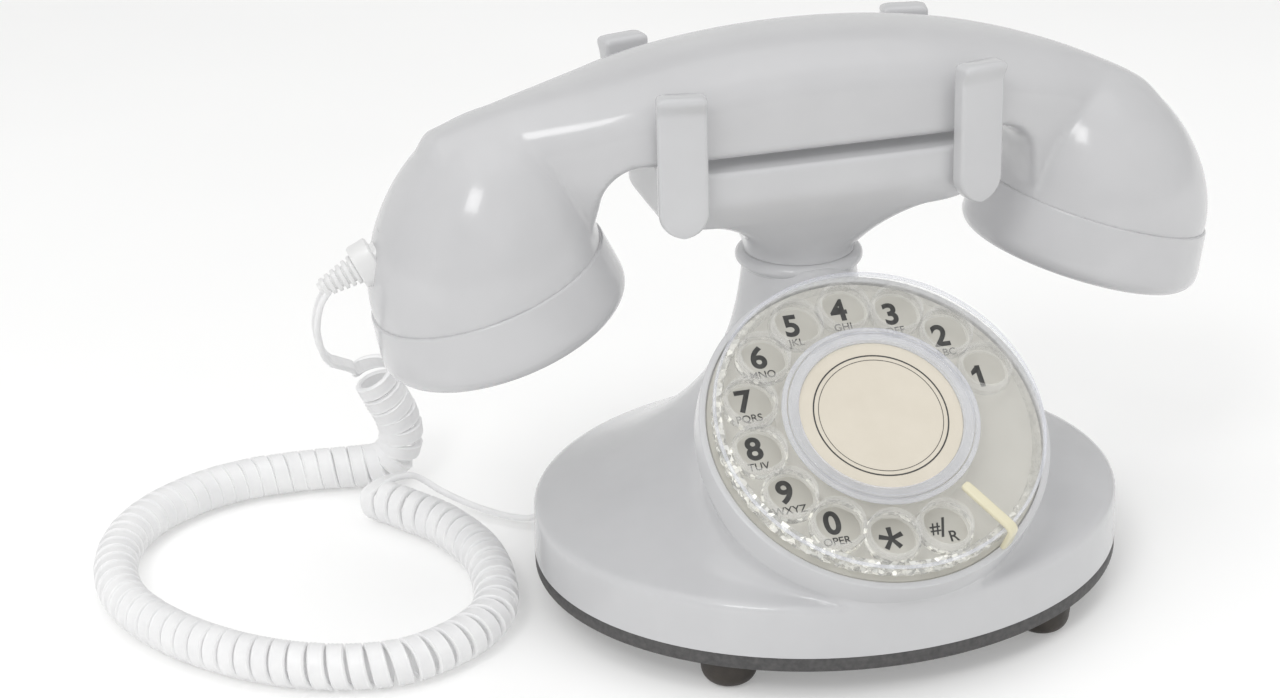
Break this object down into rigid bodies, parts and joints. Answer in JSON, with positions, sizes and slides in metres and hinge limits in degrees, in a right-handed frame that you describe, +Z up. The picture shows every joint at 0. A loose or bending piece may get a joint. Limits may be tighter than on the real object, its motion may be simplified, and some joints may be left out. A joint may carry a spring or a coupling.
{
  "type": "desk telephone",
  "caption": "Small vintage-style desk telephone: bell base with rotary dial, saddle cradle, lift-off handset, hook plunger and a coiled cord lying beside it.",
  "frame": {"origin": "on the table at the middle of the telephone's box without its free cord", "axes": "+Z up, dial faces -Y, +X to the right seen from the dial side, along the handset"},
  "size_m": [0.2908, 0.1644, 0.1386],
  "materials": {
    "white_shell": "glossy white ABS moulding",
    "clear_plastic": "clear glossy acrylic",
    "dark_plate": "dark grey moulded plastic",
    "rubber_dark": "dark rubber",
    "steel": "bright zinc plated",
    "brass": "machined",
    "board_green": "green solder mask",
    "black_plastic": "fine matt",
    "plate_grey": "printed number plate",
    "card_cream": "plain printed card",
    "stop_ivory": "ivory moulding",
    "cord_white": "satin white flexible vinyl",
    "foam_black": "soft foam"
  },
  "bodies": {
    "base": {"base_shell": "white_shell", "base_plate": "dark_plate", "base_feet": "rubber_dark", "plate_screws": "steel", "ballast_weight": "steel", "neck_collar": "white_shell", "cradle": "white_shell", "cradle_screws": "steel", "hook_spring": "steel", "hook_switch": "black_plastic", "main_board": "board_green", "board_standoffs": "brass", "sounder": "black_plastic", "sounder_ring": "steel", "cord_grommet": "rubber_dark", "cord_clamp": "steel", "line_jack": "black_plastic", "ringer_switch_body": "black_plastic", "dial_bezel": "white_shell", "number_plate": "plate_grey", "finger_stop": "stop_ivory", "dial_frame": "steel", "dial_screws": "steel", "dial_back_plate": "steel", "dial_pillars": "brass", "return_spring": "steel", "damper_cup": "black_plastic", "pulse_contacts": "brass", "cord_coil_drop": "cord_white", "cord_coil_loop": "cord_white", "cord_tail": "cord_white"},
    "hook_plunger": {"hook_plunger": "white_shell"},
    "wheel": {"dial_shaft": "brass", "finger_wheel": "clear_plastic", "number_card": "card_cream", "card_retainer": "clear_plastic", "main_gear": "brass", "pulse_cam": "white_shell"},
    "damper": {"damper_pinion": "brass"},
    "ringer_knob": {"ringer_switch_knob": "black_plastic"},
    "handset": {"handset_shell": "white_shell", "ear_cap": "white_shell", "mouth_cap": "white_shell", "receiver_capsule": "steel", "receiver_gasket": "foam_black", "microphone_capsule": "steel", "microphone_foam": "foam_black", "handset_weight": "steel", "handset_jack": "black_plastic", "cord_plug": "cord_white", "cord_boot": "cord_white", "cord_lead": "cord_white"}
  },
  "joints": [
    {"name": "handset_lift", "type": "slide", "parent": "base", "child": "handset", "axis": [0, 0, 1], "range_m": [0, 0.06]},
    {"name": "hook_plunger_slide", "type": "slide", "parent": "base", "child": "hook_plunger", "axis": [0, 0, 1], "range_m": [0, 0.0036], "deforming": ["hook_spring"]},
    {"name": "dial_turn", "type": "hinge", "parent": "base", "child": "wheel", "pos_m": [0, -0.03664, 0.0604], "axis": [0, 0.5878, -0.809], "range_deg": [0, 328], "stiffness_Nm_per_rad": 0.003, "springref_deg": -57.3},
    {"name": "damper_spin", "type": "hinge", "parent": "base", "child": "damper", "pos_m": [0.0216, -0.03664, 0.0604], "axis": [0, 0.5878, -0.809], "range_deg": [-1645, 0]},
    {"name": "ringer_switch", "type": "slide", "parent": "base", "child": "ringer_knob", "axis": [1, 0, 0], "range_m": [0, 0.003]}
  ],
  "couplings": [
    {"joint": "hook_plunger_slide", "follows": "handset_lift", "ratio": 0.06},
    {"joint": "damper_spin", "follows": "dial_turn", "ratio": -5}
  ]
}
